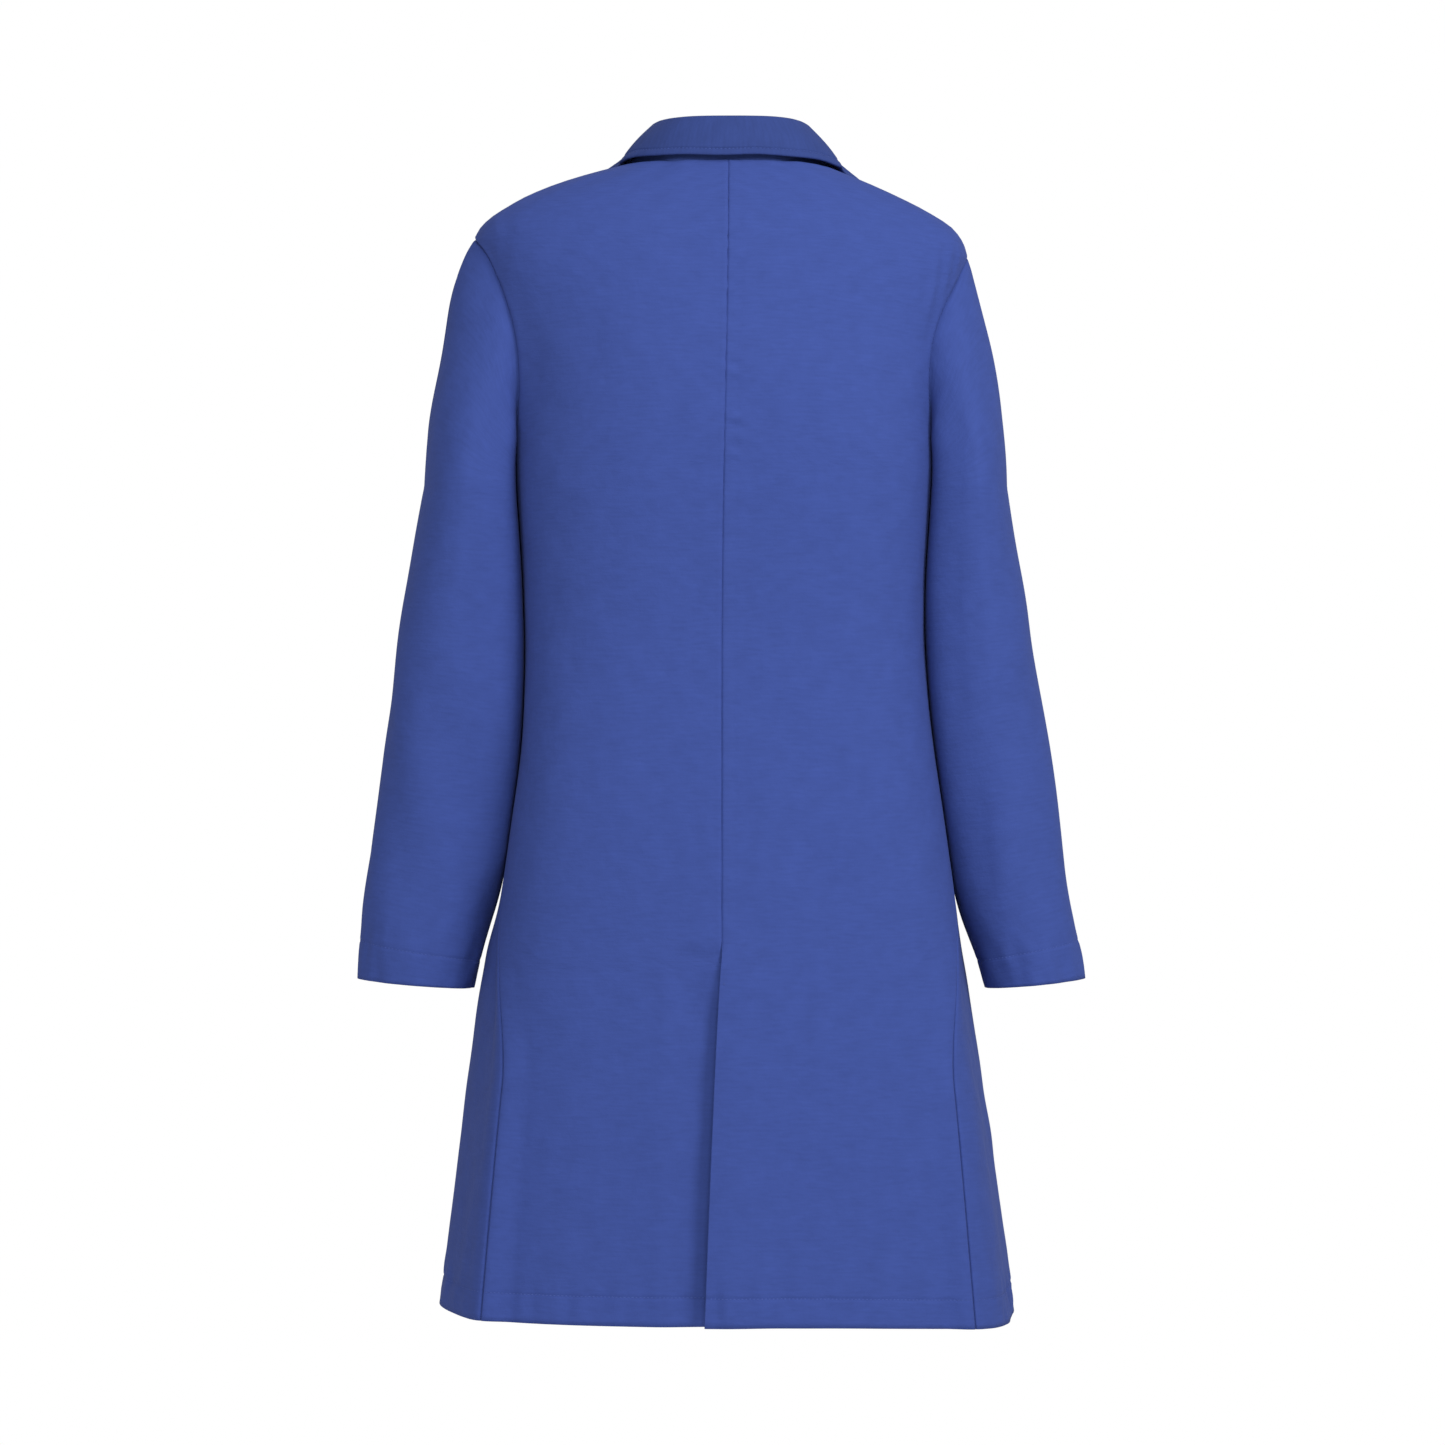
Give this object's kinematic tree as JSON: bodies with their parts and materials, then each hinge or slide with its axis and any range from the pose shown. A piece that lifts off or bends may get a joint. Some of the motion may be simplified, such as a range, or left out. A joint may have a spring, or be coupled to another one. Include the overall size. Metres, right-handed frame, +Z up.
{
  "type": "lab coat",
  "caption": "Knee-length blue lab coat with a notched collar, lapels, set-in sleeves, patch pockets, press-stud front and a lapped centre-back vent, filled out as worn.",
  "frame": {"origin": "centre of the neck opening, on the coat's centre plane at the height of the back neck seam", "axes": "+Z up, out of the neck; the front of the coat faces -Y and the wearer's left is +X"},
  "size_m": [0.6256, 0.2888, 1.0139],
  "materials": {
    "coat_cloth": "matt fine weave",
    "facing_cloth": "matt fine weave",
    "interlining": "matt non-woven",
    "loop_tape": "matt woven tape",
    "label_cloth": "satin woven",
    "snap_enamel": "enamelled",
    "snap_steel": "plated"
  },
  "bodies": {
    "torso": {"back_left_panel": "coat_cloth", "back_right_panel": "coat_cloth", "front_left_panel": "coat_cloth", "front_right_panel": "coat_cloth", "facing_left_upper": "facing_cloth", "facing_right_upper": "facing_cloth", "lapel_left": "coat_cloth", "lapel_right": "coat_cloth", "upper_collar": "coat_cloth", "collar_interlining": "interlining", "under_collar": "coat_cloth", "back_neck_facing": "facing_cloth", "neck_label": "label_cloth", "sleeve_left_head": "coat_cloth", "sleeve_left_bend": "coat_cloth", "sleeve_right_head": "coat_cloth", "sleeve_right_bend": "coat_cloth", "chest_pocket": "coat_cloth", "pocket_left": "coat_cloth", "pocket_right": "coat_cloth", "snap_cap_1": "snap_enamel", "snap_socket_1": "snap_steel", "snap_stud_1": "snap_steel", "snap_post_1": "snap_steel", "snap_stud_2": "snap_steel", "snap_post_2": "snap_steel"},
    "front_over": {"front_over_flap": "coat_cloth", "facing_right_lower": "facing_cloth", "snap_cap_2": "snap_enamel", "snap_socket_2": "snap_steel", "snap_cap_3": "snap_enamel", "snap_socket_3": "snap_steel", "snap_cap_4": "snap_enamel", "snap_socket_4": "snap_steel"},
    "front_under": {"front_under_flap": "coat_cloth", "facing_left_lower": "facing_cloth", "snap_stud_3": "snap_steel", "snap_post_3": "snap_steel", "snap_stud_4": "snap_steel", "snap_post_4": "snap_steel"},
    "vent_over": {"vent_over_flap": "coat_cloth"},
    "vent_under": {"vent_under_flap": "coat_cloth"},
    "lower_sleeve_left": {"sleeve_left": "coat_cloth"},
    "lower_sleeve_right": {"sleeve_right": "coat_cloth"},
    "loop": {"hanger_loop": "loop_tape"}
  },
  "joints": [
    {"name": "front_over_swing", "type": "hinge", "parent": "torso", "child": "front_over", "pos_m": [0.02, -0.1265, -0.325], "axis": [-0.253, -0.0152, -0.9673], "range_deg": [0, 60]},
    {"name": "front_under_swing", "type": "hinge", "parent": "torso", "child": "front_under", "pos_m": [-0.02, -0.1281, -0.488], "axis": [-0.3295, 0.025, 0.9438], "range_deg": [0, 24]},
    {"name": "vent_over_swing", "type": "hinge", "parent": "torso", "child": "vent_over", "pos_m": [0, 0.129, -0.672], "axis": [0.3411, -0.0273, 0.9396], "range_deg": [0, 50]},
    {"name": "vent_under_swing", "type": "hinge", "parent": "torso", "child": "vent_under", "pos_m": [-0.04, 0.1323, -0.786], "axis": [0.5662, 0.0414, -0.8232], "range_deg": [0, 20]},
    {"name": "sleeve_left_swing", "type": "hinge", "parent": "torso", "child": "lower_sleeve_left", "pos_m": [0.217, -0.004, -0.33], "axis": [0, -1, 0], "range_deg": [0, 30], "deforming": ["sleeve_left_bend"]},
    {"name": "sleeve_right_swing", "type": "hinge", "parent": "torso", "child": "lower_sleeve_right", "pos_m": [-0.217, -0.004, -0.33], "axis": [0, 1, 0], "range_deg": [0, 30], "deforming": ["sleeve_right_bend"]},
    {"name": "hanger_loop_turn", "type": "hinge", "parent": "torso", "child": "loop", "pos_m": [0, 0.0535, -0.004], "axis": [-1, 0, 0], "range_deg": [0, 120]}
  ],
  "couplings": [
    {"joint": "front_under_swing", "follows": "front_over_swing", "ratio": 0.4},
    {"joint": "vent_under_swing", "follows": "vent_over_swing", "ratio": 0.4}
  ]
}
